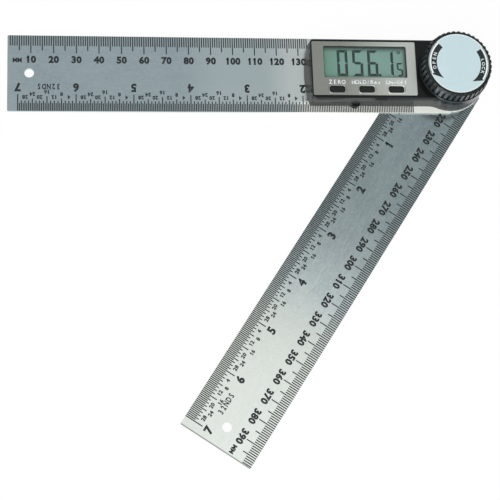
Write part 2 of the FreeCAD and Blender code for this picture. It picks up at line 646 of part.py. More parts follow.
def knob_hollow():
    """Everything turned out of the knob: the recess for the disc, the bore and the room below."""
    recess_floor = Z_KNOB_TOP - DISC_SUNK - DISC_THICKNESS
    ceiling = recess_floor - KNOB_TOP_WALL
    inside = KNOB_SLOT_FLOOR - KNOB_WALL
    return turned([(0, Z_KNOB), (inside, Z_KNOB), (inside, ceiling), (KNOB_HUB_RADIUS, ceiling),
                   (KNOB_HUB_RADIUS, Z_INSERT), (INSERT_RADIUS, Z_INSERT), (INSERT_RADIUS, recess_floor),
                   (DISC_RADIUS + PLAIN_FIT, recess_floor), (DISC_RADIUS + PLAIN_FIT, Z_KNOB_TOP),
                   (0, Z_KNOB_TOP)])


def knob_body():
    """Ribbed knob: a plain skirt ring, and flat leaning ribs between slots with a broken rim."""
    skirt_top = Z_KNOB + KNOB_SKIRT_HEIGHT
    rim_foot = Z_KNOB_TOP - KNOB_RIM_CHAMFER
    skirt = disc(KNOB_RADIUS, Z_KNOB, skirt_top)
    foot = polygon(KNOB_RIB_FOOT_RADIUS, KNOB_SLOT_COUNT, skirt_top)
    shoulder = polygon(KNOB_RIB_TOP_RADIUS, KNOB_SLOT_COUNT, rim_foot)
    top = polygon(KNOB_RIB_TOP_RADIUS - KNOB_RIM_CHAMFER, KNOB_SLOT_COUNT, Z_KNOB_TOP)
    ribs = Part.makeLoft([foot, shoulder, top], True, True)
    slot = block(KNOB_SLOT_FLOOR, KNOB_RADIUS, -KNOB_SLOT_WIDTH / 2, KNOB_SLOT_WIDTH / 2,
                 skirt_top, Z_KNOB_TOP)
    slots = []
    for i in range(KNOB_SLOT_COUNT):
        turned_slot = slot.copy()
        turned_slot.rotate(Vector(0, 0, 0), Vector(0, 0, 1), i * 360.0 / KNOB_SLOT_COUNT)
        slots.append(turned_slot)
    ribs = ribs.cut(Part.makeCompound(slots))
    return fused([skirt, ribs]).cut(knob_hollow())


def knob_insert():
    """Threaded brass bush that carries the knob on the stud; its bore clears the thread."""
    return ring(INSERT_RADIUS, STUD_RADIUS + RUNNING_FIT, Z_INSERT, Z_INSERT + INSERT_HEIGHT)


def knob_disc():
    top = Z_KNOB_TOP - DISC_SUNK
    return disc(DISC_RADIUS, top - DISC_THICKNESS, top)


def build():
    outside = head_outside()
    nodes = {
        "lower_rule": lower_rule(),
        "pivot_hub": pivot_hub(),
        "rule_washer": ring(WASHER_RADIUS, HUB_RADIUS + PLAIN_FIT, Z_WASHER, Z_WASHER + WASHER_THICKNESS),
        "rotor_sleeve": rotor_sleeve(),
        "encoder_rotor": encoder_rotor(),
        "retaining_clip": retaining_clip(),
        "lock_washer": lock_washer(),
        "knob_body": knob_body(),
        "knob_insert": knob_insert(),
        "knob_disc": knob_disc(),
        "upper_rule": upper_rule(),
        "head_housing": head_housing(outside),
        "housing_screws": housing_screws(),
        "readout_plate": readout_plate(),
        "lcd_window": lcd_window(),
        "lcd_panel": lcd_panel(),
        "lcd_holder": lcd_holder(),
        "zebra_strip": zebra_place(),
        "main_board": main_board(),
        "board_screws": board_screws(),
        "chip_blob": chip_blob(),
        "capacitors": capacitors(),
        "key_switches": key_switches(),
        "contact_positive": contact_positive(),
        "contact_negative": contact_negative(),
        "insulating_film": insulating_film(),
        "battery_tray": battery_tray(outside),
        "coin_cell": coin_cell(),
    }
    for name, x in zip(BUTTON_NAMES, BUTTON_XS):
        nodes[name] = button(x)
    return nodes


os.makedirs("parts", exist_ok=True)
for node, shape in build().items():
    shape.exportStep("parts/" + node + ".step")
    print(node, "solids", len(shape.Solids), "valid", shape.isValid(), "volume", round(shape.Volume, 2))
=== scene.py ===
# %% [markdown]
# # A digital protractor
# Two flat steel rules turn on one pivot. A moulded head on the upper rule holds the display,
# and a ribbed knob over the pivot locks the angle. The solids of all of them come from the
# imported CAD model, so this lesson adds what CAD leaves out: finishes, printed scales, the
# digits of the display, the lettering, the light and the camera.

# %% Load the frame
import bmesh
import bpy
import math
from mathutils import Matrix, Vector


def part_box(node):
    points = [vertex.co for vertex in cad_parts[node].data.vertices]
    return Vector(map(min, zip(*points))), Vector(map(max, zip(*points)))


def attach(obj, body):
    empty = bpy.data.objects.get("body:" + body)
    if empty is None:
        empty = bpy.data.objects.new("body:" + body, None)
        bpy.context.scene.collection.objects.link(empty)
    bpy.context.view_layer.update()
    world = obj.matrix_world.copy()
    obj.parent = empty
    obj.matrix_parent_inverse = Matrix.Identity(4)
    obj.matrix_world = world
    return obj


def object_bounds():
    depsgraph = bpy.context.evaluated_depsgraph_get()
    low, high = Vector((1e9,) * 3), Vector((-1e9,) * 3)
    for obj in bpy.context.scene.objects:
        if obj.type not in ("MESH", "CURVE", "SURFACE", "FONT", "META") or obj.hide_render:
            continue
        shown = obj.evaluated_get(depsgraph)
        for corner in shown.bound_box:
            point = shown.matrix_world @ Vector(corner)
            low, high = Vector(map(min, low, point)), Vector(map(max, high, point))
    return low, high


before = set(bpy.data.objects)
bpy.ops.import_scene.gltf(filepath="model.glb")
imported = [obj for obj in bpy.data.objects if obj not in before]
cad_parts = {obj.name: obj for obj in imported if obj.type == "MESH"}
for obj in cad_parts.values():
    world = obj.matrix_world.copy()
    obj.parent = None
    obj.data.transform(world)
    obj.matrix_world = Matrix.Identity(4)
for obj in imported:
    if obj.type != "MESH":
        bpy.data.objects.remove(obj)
cad_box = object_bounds()

# %% [markdown]
# ## Units and places
# Blender works in metres and the object is drawn in millimetres, so every size below is a
# plain number of millimetres that `MM` turns into metres at the last moment. Heights and
# places are read from the boxes of the CAD nodes, so that print always lies on its surface.

# %% Sizes and places in millimetres
MM = 0.001
RULE_REACH = 200.0
RULE_HALF_WIDTH = 17.6
FOLD = math.radians(55.7)


def low(node):
    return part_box(node)[0] / MM


def high(node):
    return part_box(node)[1] / MM


HEAD_TOP = high("head_housing").z
PLATE_TOP = high("readout_plate").z
GLASS_TOP = high("lcd_panel").z
DISC_TOP = high("knob_disc").z
print("head top", round(HEAD_TOP, 2), "plate top", round(PLATE_TOP, 2), "glass", round(GLASS_TOP, 2))

# %% [markdown]
# ## Smooth shading on the CAD solids
# The CAD meshes are loose triangles. Their points could be moved together by hand, but the
# frame must stay as it is, so modifiers do it: Weld joins the points, smooth shading rounds
# the light over them, and Edge Split keeps every edge sharper than 30 degrees crisp.

# %% Weld, smooth and split
WELD_DISTANCE = 0.002
SHARP_DEGREES = 30

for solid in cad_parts.values():
    for face in solid.data.polygons:
        face.use_smooth = True
    weld = solid.modifiers.new("weld", "WELD")
    weld.merge_threshold = WELD_DISTANCE * MM
    split = solid.modifiers.new("split", "EDGE_SPLIT")
    split.split_angle = math.radians(SHARP_DEGREES)
print("smoothed", len(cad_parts))

# %% [markdown]
# ## Colours and nodes
# A colour picked from a screen is sRGB, while Blender's sockets hold linear light, so one
# function turns a hex code into linear numbers. A second one adds any node with its settings
# and links, which keeps each material to a few readable lines. The others place a pattern, let
# it vary the colour, the roughness or the relief, and mask a part of the object by where it is.

# %% Colour and node helpers


def linear(code):
    values = [int(code[i:i + 2], 16) / 255 for i in (1, 3, 5)]
    return [v / 12.92 if v <= 0.04045 else ((v + 0.055) / 1.055) ** 2.4 for v in values] + [1.0]


def add(material, kind, settings, links=None):
    """Adds a node; a setting is a property or an input's value, a link feeds an input."""
    node = material.node_tree.nodes.new(kind)
    for name, value in settings.items():
        if isinstance(name, int) or name in node.inputs:
            node.inputs[name].default_value = value
        else:
            setattr(node, name, value)
    for name, source in (links or {}).items():
        material.node_tree.links.new(source, node.inputs[name])
    return node


def surface_of(material):
    return material.node_tree.nodes["Principled BSDF"]


def new_material(name, colour, roughness, metallic=0.0):
    material = bpy.data.materials.new(name)
    material.use_nodes = True
    surface = surface_of(material)
    surface.inputs["Base Color"].default_value = linear(colour)
    surface.inputs["Roughness"].default_value = roughness
    surface.inputs["Metallic"].default_value = metallic
    return material


def link(material, source, socket):
    material.node_tree.links.new(source, surface_of(material).inputs[socket])


def place(material, size_mm, turn=0.0, stretch=(1.0, 1.0, 1.0)):
    """Object coordinates scaled so that one unit of a pattern is size_mm, after a turn about Z."""
    where = add(material, "ShaderNodeTexCoord", {})
    scale = [1 / (size_mm * MM * s) for s in stretch]
    turned = add(material, "ShaderNodeMapping", {"Rotation": (0, 0, turn)},
                 {"Vector": where.outputs["Object"]})
    return add(material, "ShaderNodeMapping", {"Scale": scale},
               {"Vector": turned.outputs["Vector"]}).outputs["Vector"]


def vary_colour(material, amount, darker, lighter):
    """Blends two colours by a pattern's value and feeds them to the surface."""
    blend = add(material, "ShaderNodeMix", {"data_type": "RGBA", 6: linear(darker), 7: linear(lighter)},
                {0: amount})
    link(material, blend.outputs[2], "Base Color")


def vary_roughness(material, amount, smooth, rough):
    spread = add(material, "ShaderNodeMapRange", {"To Min": smooth, "To Max": rough},
                 {"Value": amount})
    link(material, spread.outputs["Result"], "Roughness")


def bump(material, height, depth_mm, strength=1.0):
    relief = add(material, "ShaderNodeBump", {"Strength": strength, "Distance": depth_mm * MM},
                 {"Height": height})
    link(material, relief.outputs["Normal"], "Normal")


def between(material, axis, start_mm, end_mm):
    """A value that rises from 0 to 1 between two places along one axis of the object."""
    where = add(material, "ShaderNodeTexCoord", {})
    parts = add(material, "ShaderNodeSeparateXYZ", {}, {0: where.outputs["Object"]})
    return add(material, "ShaderNodeMapRange",
               {"interpolation_type": "SMOOTHSTEP", "From Min": start_mm * MM,
                "From Max": end_mm * MM}, {"Value": parts.outputs[axis]}).outputs["Result"]


def times(material, first, second):
    return add(material, "ShaderNodeMath", {"operation": "MULTIPLY"}, {0: first, 1: second}).outputs[0]


def towards_colour(material, amount, colour):
    """Blends what already feeds the base colour towards another colour."""
    so_far = surface_of(material).inputs["Base Color"].links[0].from_socket
    blend = add(material, "ShaderNodeMix", {"data_type": "RGBA", 7: linear(colour)},
                {0: amount, 6: so_far})
    link(material, blend.outputs[2], "Base Color")


print("white", [round(v, 3) for v in linear("#ffffff")], "mid", [round(v, 3) for v in linear("#808080")])

# %% [markdown]
# ## The steel of the rules
# The rules are stainless strip with a satin roll finish: fine lines run along the rule, and
# the etching bath leaves soft cloudy patches. A painted grey would look dead, so the steel is
# a metal, and noise stretched along each rule gives the lines. Real lines are about 0.05 mm
# apart, which this picture can't show, so they are drawn 0.5 mm apart. Each rule needs its own
# copy, because the lines follow the rule. Both rules are the same steel, and the lower rule's
# copy is painted darker: painted shade.

# %% Satin steel


def rule_steel(name, turn, darker, lighter):
    material = new_material(name, lighter, 0.2, 1.0)
    lines = add(material, "ShaderNodeTexNoise", {"Scale": 1.0, "Detail": 3.0, "Roughness": 0.6},
                {"Vector": place(material, 0.5, turn, (40.0, 1.0, 1.0))})
    clouds = add(material, "ShaderNodeTexNoise", {"Scale": 1.0, "Detail": 4.0, "Roughness": 0.55},
                 {"Vector": place(material, 9.0, turn, (2.5, 1.0, 1.0))})
    mottle = add(material, "ShaderNodeTexNoise", {"Scale": 1.0, "Detail": 2.0, "Distortion": 1.2},
                 {"Vector": place(material, 1.3, turn, (1.6, 1.0, 1.0))})
    streaks = add(material, "ShaderNodeMix", {"data_type": "FLOAT", 0: 0.6},
                  {2: lines.outputs["Fac"], 3: clouds.outputs["Fac"]})
    both = add(material, "ShaderNodeMix", {"data_type": "FLOAT", 0: 0.5},
               {2: streaks.outputs[0], 3: mottle.outputs["Fac"]})
    contrast = add(material, "ShaderNodeMapRange", {"From Min": 0.3, "From Max": 0.7},
                   {"Value": both.outputs[0]})
    vary_colour(material, contrast.outputs["Result"], darker, lighter)
    vary_roughness(material, streaks.outputs[0], 0.13, 0.21)
    bump(material, lines.outputs["Fac"], 0.004)
    return material


upper_steel = rule_steel("satin_stainless_strip_upper", 0.0, "#bfcbd1", "#d4e0e5")
# The lower rule's colours are darker than the upper's: painted shade on the same steel.
lower_steel = rule_steel("satin_stainless_strip_lower", -FOLD, "#a0adb1", "#c2cdcf")
print("steel", upper_steel.name, lower_steel.name)

# %% [markdown]
# The upper rule's colour is painted paler towards the head: a painted sheen. In front of the
# head a narrow pale band is a painted highlight, which a mirror finish would leave black,
# since it would only show the dark wall beside it. So there the metal gives way to a pale matt
# surface, by a mask of two ramps.

# %% Painted sheen and painted highlight band of the upper rule
BRIGHTER = (-126.0, -104.0)
BRIGHTEST = (-87.0, -72.0)
PAINTED_HIGHLIGHT_START = (-74.0, -64.0)
PAINTED_HIGHLIGHT_EDGE = (-12.0, -13.0)

# Painted sheen: two ramps make the colour paler towards the head.
towards_colour(upper_steel, between(upper_steel, "X", *BRIGHTER), "#dae4e7")
towards_colour(upper_steel, between(upper_steel, "X", *BRIGHTEST), "#f6f9f8")
# Painted highlight: a pale matt band in front of the head.
in_front = between(upper_steel, "Y", *PAINTED_HIGHLIGHT_EDGE)
beside = between(upper_steel, "X", *PAINTED_HIGHLIGHT_START)
painted_highlight = times(upper_steel, in_front, beside)
towards_colour(upper_steel, painted_highlight, "#ecece6")
metal_share = add(upper_steel, "ShaderNodeMapRange", {"To Min": 1.0, "To Max": 0.0},
                  {"Value": painted_highlight})
link(upper_steel, metal_share.outputs["Result"], "Metallic")
print("brighter from", BRIGHTER[0], "frosted from", PAINTED_HIGHLIGHT_START[0])

# %% [markdown]
# Towards its free end the lower rule's colour blends part of the way towards a less blue grey.
# A thin dark line is painted along the end: painted shade that stands for the shaded end face.

# %% Far end of the lower rule
LESS_BLUE = (-118.0, -142.0)
LESS_BLUE_SHARE = 0.6
END_SHADE_LINE = (0.55, 0.25)

along_rule = add(lower_steel, "ShaderNodeSeparateXYZ", {}, {0: place(lower_steel, 1.0, -FOLD)})
# Towards the free end the colour blends towards a less blue grey.
less_blue = add(lower_steel, "ShaderNodeMapRange",
           {"From Min": LESS_BLUE[0], "From Max": LESS_BLUE[1], "To Max": LESS_BLUE_SHARE},
           {"Value": along_rule.outputs["X"]})
towards_colour(lower_steel, less_blue.outputs["Result"], "#bcc0bb")
# Painted shade: a thin dark line along the rule's end.
end_shade = add(lower_steel, "ShaderNodeMapRange",
              {"From Min": END_SHADE_LINE[0] - RULE_REACH, "From Max": END_SHADE_LINE[1] - RULE_REACH},
              {"Value": along_rule.outputs["X"]})
towards_colour(lower_steel, end_shade.outputs["Result"], "#6b706f")
print("worn from", LESS_BLUE[0])

# %% [markdown]
# ## Turned, plated and sprung metals
# The small metal pieces differ in colour and in the marks of their making. Turned pieces have
# rings from the lathe about 0.1 mm apart, drawn here 0.3 mm apart, and pressed or plated ones
# have a faint orange-peel, which noise gives.

# %% Metals


def turned_metal(name, darker, lighter, roughness):
    material = new_material(name, lighter, roughness, 1.0)
    rings = add(material, "ShaderNodeTexWave", {"wave_type": "RINGS", "rings_direction": "Z",
                                                "Scale": 1.0, "Distortion": 0.6, "Detail": 1.0},
                {"Vector": place(material, 1.0)})
    vary_colour(material, rings.outputs["Fac"], darker, lighter)
    bump(material, rings.outputs["Fac"], 0.003)
    return material


def pressed_metal(name, darker, lighter, roughness, grain_mm=0.8):
    material = new_material(name, lighter, roughness, 1.0)
    peel = add(material, "ShaderNodeTexNoise", {"Scale": 1.0, "Detail": 3.0},
               {"Vector": place(material, grain_mm)})
    vary_colour(material, peel.outputs["Fac"], darker, lighter)
    vary_roughness(material, peel.outputs["Fac"], roughness - 0.06, roughness + 0.08)
    bump(material, peel.outputs["Fac"], 0.004)
    return material


turned_steel = turned_metal("turned_steel", "#98999a", "#c4c6c8", 0.28)
turned_brass = turned_metal("turned_brass", "#b08b45", "#d8b56a", 0.3)
zinc_plate = pressed_metal("zinc_plated_steel", "#9a9fa3", "#c2c7ca", 0.35)
nickel_plate = pressed_metal("nickel_plated_cell_can", "#a9aaa8", "#cfd0cd", 0.25)
spring_bronze = pressed_metal("tinned_phosphor_bronze", "#a58f6a", "#cdb98e", 0.33)
switch_metal = pressed_metal("stainless_foil", "#a4a6a7", "#cccecf", 0.3)
print("metals", turned_steel.name, turned_brass.name, zinc_plate.name, nickel_plate.name,
      spring_bronze.name, switch_metal.name)

# %% [markdown]
# ## Moulded plastics
# The head and keys are glossy black ABS and the knob is a duller grade. Moulds leave a fine
# grain, about 0.1 mm on the real piece and drawn here a little coarser, and handling leaves
# broad patches that differ in gloss, so roughness gets its own slower noise. Upright faces
# are made rougher, a satin, and are painted a greyer colour, which is painted reflection. The
# surface's own direction picks between the polished black and this greyer satin. The head's
# upper rim and the small nub of the battery drawer are polished all round and keep no painted
# grey, so a mask leaves them out.

# %% Plastics


def moulded(name, darker, lighter, roughness, grain_mm=0.35, depth_mm=0.004, ior=1.5):
    material = new_material(name, lighter, roughness)
    surface_of(material).inputs["IOR"].default_value = ior
    grain = add(material, "ShaderNodeTexNoise", {"Scale": 1.0, "Detail": 2.0},
                {"Vector": place(material, grain_mm)})
    wear = add(material, "ShaderNodeTexNoise", {"Scale": 1.0, "Detail": 3.0},
               {"Vector": place(material, 12.0)})
    vary_colour(material, wear.outputs["Fac"], darker, lighter)
    vary_roughness(material, wear.outputs["Fac"], roughness - 0.05, roughness + 0.08)
    bump(material, grain.outputs["Fac"], depth_mm, 0.5)
    return material


def satin_sides(material, colour, rough, *masks):
    """Faces that stand upright get a rougher satin and a greyer colour, which is painted reflection,
    except where a mask is 0.
    """
    where = add(material, "ShaderNodeTexCoord", {})
    parts = add(material, "ShaderNodeSeparateXYZ", {}, {0: where.outputs["Normal"]})
    level = add(material, "ShaderNodeMath", {"operation": "ABSOLUTE"}, {0: parts.outputs["Z"]})
    upright = add(material, "ShaderNodeMapRange", {"From Min": 0.6, "From Max": 0.35},
                  {"Value": level.outputs[0]}).outputs["Result"]
    for mask in masks:
        upright = times(material, upright, mask)
    towards_colour(material, upright, colour)
    so_far = surface_of(material).inputs["Roughness"].links[0].from_socket
    blend = add(material, "ShaderNodeMix", {"data_type": "FLOAT", 3: rough}, {0: upright, 2: so_far})
    link(material, blend.outputs[0], "Roughness")


POLISHED_BLACK = ("#060808", "#0b0e0e", 0.16)
POLISHED_IOR = 1.42
# The grey of the upright walls is painted reflection; their roughness is a satin finish.
SATIN_AND_REFLECTION_WALL = ("#3d3f3d", 0.24)
RIM_HEIGHTS = (HEAD_TOP - 2.1, HEAD_TOP - 3.1)
NUB_FRONT = low("battery_tray").y
NUB_DEPTHS = (NUB_FRONT + 0.8, NUB_FRONT + 1.1)

head_plastic = moulded("glossy_black_abs", *POLISHED_BLACK, ior=POLISHED_IOR)
satin_sides(head_plastic, *SATIN_AND_REFLECTION_WALL, between(head_plastic, "Z", *RIM_HEIGHTS))
tray_plastic = moulded("glossy_black_abs_tray", *POLISHED_BLACK, ior=POLISHED_IOR)
satin_sides(tray_plastic, *SATIN_AND_REFLECTION_WALL, between(tray_plastic, "Y", *NUB_DEPTHS))
knob_plastic = moulded("satin_black_abs", "#0b0d0f", "#131618", 0.24, 0.5, 0.006)
# The knob's upright ribs are painted this grey: painted reflection.
satin_sides(knob_plastic, "#2d3233", 0.27)
key_rubber = moulded("dark_silicone_rubber", "#0f1211", "#191d1b", 0.5, 0.4, 0.006, ior=1.38)
white_polymer = moulded("white_acetal", "#c9c9c2", "#dcdcd6", 0.4)
print("plastics", head_plastic.name, tray_plastic.name, knob_plastic.name, key_rubber.name,
      white_polymer.name)

# %% [markdown]
# ## The readout plate
# The plate is thin aluminium with a satin, warm grey anodised face. It is partly metal in how
# it reflects and partly a flat colour, so its metallic value is between the two, and faint
# lines run along it as on any brushed sheet, 0.1 mm apart on the real plate and 0.3 mm here.
# Its colour is painted paler towards the knob: a painted sheen. A Bevel node rolls the light
# over the sheet's sharp edges.

# %% Plate
PAINTED_SHEEN = (-56.0, -20.0)
EDGE_RADIUS = 0.2

plate_metal = new_material("satin_anodised_aluminium", "#a9a9a1", 0.36, 0.8)
brushing = add(plate_metal, "ShaderNodeTexNoise", {"Scale": 1.0, "Detail": 3.0},
               {"Vector": place(plate_metal, 0.3, 0.0, (60.0, 1.0, 1.0))})
vary_colour(plate_metal, brushing.outputs["Fac"], "#95968f", "#a1a29b")
# Painted sheen: the colour grows paler towards the knob.
towards_colour(plate_metal, between(plate_metal, "X", *PAINTED_SHEEN), "#d6d8d2")
vary_roughness(plate_metal, brushing.outputs["Fac"], 0.3, 0.42)
bump(plate_metal, brushing.outputs["Fac"], 0.002)
edge_roll = add(plate_metal, "ShaderNodeBevel", {"Radius": EDGE_RADIUS * MM, "samples": 4})
relief = surface_of(plate_metal).inputs["Normal"].links[0].from_node
plate_metal.node_tree.links.new(edge_roll.outputs["Normal"], relief.inputs["Normal"])
print("plate", plate_metal.name)

# %% [markdown]
# ## The display
# A reflective liquid crystal display is green-grey, because light passes the crystal twice and
# comes back from a fine-grained mirror foil. The pane over it is clear acrylic. Real glass
# would bend and dim the light in ways this small gap doesn't show, so the pane is mostly
# see-through and keeps a gloss. The foil is greener at the window's far end and paler from the
# first digit on. Towards the back and knob-side walls, where less light falls, its colour is
# painted darker: painted shade.

# %% Display glass and pane
WINDOW_FAR = low("readout_plate").x + 5.2
WINDOW_NEAR = high("readout_plate").x - 4.2
WINDOW_FRONT = low("readout_plate").y + 8.3
WINDOW_BACK = high("readout_plate").y - 2.1
PALER = (WINDOW_FAR + 2.0, WINDOW_FAR + 13.0)
BACK_SHADOW = (WINDOW_BACK - 2.8, WINDOW_BACK - 0.3)
NEAR_SHADOW = (WINDOW_NEAR - 2.2, WINDOW_NEAR)

lcd_glass = new_material("reflective_lcd_glass", "#628577", 0.35)
foil = add(lcd_glass, "ShaderNodeTexNoise", {"Scale": 1.0, "Detail": 3.0},
           {"Vector": place(lcd_glass, 0.25)})
vary_colour(lcd_glass, foil.outputs["Fac"], "#5f8978", "#6b9584")
vary_roughness(lcd_glass, foil.outputs["Fac"], 0.3, 0.45)
bump(lcd_glass, foil.outputs["Fac"], 0.001)
towards_colour(lcd_glass, between(lcd_glass, "X", *PALER), "#779a90")
# Painted shade: darker towards the back and knob-side walls of the window.
towards_colour(lcd_glass, between(lcd_glass, "Y", *BACK_SHADOW), "#3f564d")
towards_colour(lcd_glass, between(lcd_glass, "X", *NEAR_SHADOW), "#486056")

clear_window = new_material("clear_acrylic", "#9fb0a8", 0.06)
surface_of(clear_window).inputs["Alpha"].default_value = 0.05
ripple = add(clear_window, "ShaderNodeTexNoise", {"Scale": 1.0, "Detail": 1.0},
             {"Vector": place(clear_window, 18.0)})
vary_roughness(clear_window, ripple.outputs["Fac"], 0.04, 0.1)
print("display", lcd_glass.name, clear_window.name)

# %% [markdown]
# ## Inside the head
# What the head holds shows only when the battery drawer comes out or the knob is lifted off,
# but it is finished like the rest. The board is green solder mask over woven glass cloth, the
# contact strip is striped silicone, the chip is under black resin, and the film is amber.

# %% Board, strip, resin, ceramic and film
circuit_board = new_material("green_solder_mask", "#1f5c3c", 0.35)
weave = add(circuit_board, "ShaderNodeTexChecker", {"Scale": 1.0, "Color1": linear("#1c5638"),
                                                    "Color2": linear("#236443")},
            {"Vector": place(circuit_board, 0.5)})
link(circuit_board, weave.outputs["Color"], "Base Color")
bump(circuit_board, weave.outputs["Fac"], 0.002)

contact_rubber = new_material("striped_silicone", "#5a4650", 0.55)
stripes = add(contact_rubber, "ShaderNodeTexWave", {"Scale": 1.0, "bands_direction": "X"},
              {"Vector": place(contact_rubber, 1.0)})
vary_colour(contact_rubber, stripes.outputs["Fac"], "#2b2426", "#b98a97")

chip_resin = moulded("black_epoxy_resin", "#0f1010", "#1a1b1b", 0.22, 1.2, 0.02)
ceramic = moulded("capacitor_ceramic", "#8f7354", "#a98a66", 0.5, 0.3, 0.004)
amber_film = moulded("polyimide_film", "#9a5f1c", "#b8792c", 0.25, 3.0, 0.003)
print("inner finishes", circuit_board.name, contact_rubber.name, chip_resin.name, ceramic.name,
      amber_film.name)

# %% [markdown]
# ## The face of the knob
# A printed polyester disc is set into the knob: pale blue-white with a slight sheen. A coat
# gives the sheen over a matt ground, and a slow noise keeps it from being one flat colour.

# %% Disc and inks
disc_face = new_material("printed_polyester", "#bfcfd5", 0.4)
surface_of(disc_face).inputs["Coat Weight"].default_value = 0.3
surface_of(disc_face).inputs["Coat Roughness"].default_value = 0.15
tint = add(disc_face, "ShaderNodeTexNoise", {"Scale": 1.0, "Detail": 2.0},
           {"Vector": place(disc_face, 14.0)})
vary_colour(disc_face, tint.outputs["Fac"], "#bfd2d5", "#cadbe1")


def ink(name, darker, lighter, roughness, grain_mm=0.6):
    material = new_material(name, lighter, roughness)
    grain = add(material, "ShaderNodeTexNoise", {"Scale": 1.0, "Detail": 2.0},
                {"Vector": place(material, grain_mm)})
    vary_colour(material, grain.outputs["Fac"], darker, lighter)
    vary_roughness(material, grain.outputs["Fac"], roughness - 0.05, roughness + 0.1)
    return material


etch_ink = ink("etched_black_fill", "#0d1314", "#181f20", 0.55)
white_ink = ink("white_screen_ink", "#dfe3e3", "#f4f6f6", 0.45)
disc_black = ink("black_screen_ink", "#12191d", "#1b2327", 0.4)
# A dark ink for the display's seal, which is also painted shade from the window's walls.
seal_glue_and_shade = ink("dark_epoxy_seal_and_painted_shade", "#25332e", "#2d3c36", 0.5)
crystal = ink("dark_liquid_crystal", "#10201f", "#182a28", 0.5)
surface_of(crystal).inputs["IOR"].default_value = 1.2
print("inks", etch_ink.name, white_ink.name, disc_black.name, seal_glue_and_shade.name, crystal.name)

# %% [markdown]
# ## Dressing the CAD nodes
# Every CAD node gets its finish in one table, so that a forgotten one is easy to see.

# %% Finish of every node
FINISH = {
    "lower_rule": lower_steel, "upper_rule": upper_steel, "pivot_hub": turned_steel,
    "rule_washer": white_polymer, "rotor_sleeve": turned_brass, "encoder_rotor": circuit_board,
    "retaining_clip": spring_bronze, "lock_washer": turned_steel, "knob_body": knob_plastic,
    "knob_insert": turned_brass, "knob_disc": disc_face, "head_housing": head_plastic,
    "housing_screws": zinc_plate, "readout_plate": plate_metal, "lcd_window": clear_window,
    "lcd_panel": lcd_glass, "lcd_holder": white_polymer, "zebra_strip": contact_rubber,
    "main_board": circuit_board, "board_screws": zinc_plate, "chip_blob": chip_resin,
    "capacitors": ceramic, "key_switches": switch_metal, "contact_positive": spring_bronze,
    "contact_negative": spring_bronze, "insulating_film": amber_film,
    "battery_tray": tray_plastic, "coin_cell": nickel_plate, "zero_button": key_rubber,
    "hold_button": key_rubber, "power_button": key_rubber,
}
for node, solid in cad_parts.items():
    solid.data.materials.clear()
    solid.data.materials.append(FINISH[node])
print("dressed", len(FINISH), "of", len(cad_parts))

# %% [markdown]
# ## Print
# Ticks, digits and words are ink on a surface, about 0.01 mm thick. They could be drawn in
# the material, but a procedural material can't write, so they are real shapes: everything is
# drawn flat in millimetres, then one step thickens the drawing into closed solids and lays it
# on its surface.

# %% Drawing helpers
INK_THICKNESS = 0.012
SAME_POINT = 0.0001


def polar(radius, degrees):
    return (radius * math.cos(math.radians(degrees)), radius * math.sin(math.radians(degrees)))


def outline(drawing, points):
    """A flat face through the given (x, y) points."""
    drawing.faces.new([drawing.verts.new((x, y, 0)) for x, y in points])


def stroke(drawing, start, end, width):
    """A straight bar of ink between two points."""
    along = (Vector(end) - Vector(start)).normalized() * (width / 2)
    side = Vector((-along.y, along.x))
    outline(drawing, [Vector(start) - side, Vector(end) - side, Vector(end) + side,
                      Vector(start) + side])


def make_piece(drawing, name, material, body):
    """Turns a drawing in millimetres into an object that rides on its body."""
    bmesh.ops.scale(drawing, verts=drawing.verts, vec=(MM, MM, MM))
    bmesh.ops.recalc_face_normals(drawing, faces=drawing.faces)
    mesh = bpy.data.meshes.new(name)
    drawing.to_mesh(mesh)
    drawing.free()
    mesh.materials.append(material)
    piece = bpy.data.objects.new(name, mesh)
    bpy.context.scene.collection.objects.link(piece)
    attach(piece, body)
    print(name, "faces", len(mesh.polygons))
    return piece


def lay(drawing, name, material, z, body, thickness=INK_THICKNESS):
    """Thickens a flat drawing and lays it at height z. Every face is turned upwards first."""
    drawing.normal_update()
    downwards = [face for face in drawing.faces if face.normal.z < 0]
    bmesh.ops.reverse_faces(drawing, faces=downwards)
    drawing.normal_update()
    bmesh.ops.solidify(drawing, geom=drawing.faces[:], thickness=thickness)
    lowest = min(v.co.z for v in drawing.verts)
    bmesh.ops.translate(drawing, verts=drawing.verts, vec=(0, 0, z - lowest))
    return make_piece(drawing, name, material, body)


# %% [markdown]
# ## Letters
# Blender's own font gives each letter once as a flat mesh, and the same mesh is stamped
# wherever the letter is needed. The font's digit 1 is a bare bar, so a small flag is added to
# it as on most scales.

# %% Letters
FONT_HEIGHT = 0.69
FLAG_OF_ONE = ((-0.2, 0.53), (-0.2, 0.46), (0.0, 0.5), (0.0, FONT_HEIGHT))
LETTERS = {}


def letter_mesh(character, weight):
    curve = bpy.data.curves.new("letter", "FONT")
    curve.body = character
    curve.align_x = "CENTER"
    curve.resolution_u = 2
    curve.offset = weight
    holder = bpy.data.objects.new("letter", curve)
    bpy.context.scene.collection.objects.link(holder)
    ready = holder.evaluated_get(bpy.context.evaluated_depsgraph_get())
    mesh = bpy.data.meshes.new_from_object(ready)
    shape = bmesh.new()
    shape.from_mesh(mesh)
    bpy.data.objects.remove(holder)
    if character == "1":
        outline(shape, FLAG_OF_ONE)
    bmesh.ops.scale(shape, verts=shape.verts, vec=(1 / FONT_HEIGHT, 1 / FONT_HEIGHT, 1))
    bmesh.ops.translate(shape, verts=shape.verts, vec=(0, -0.5, 0))
    shape.to_mesh(mesh)
    shape.free()
    return mesh


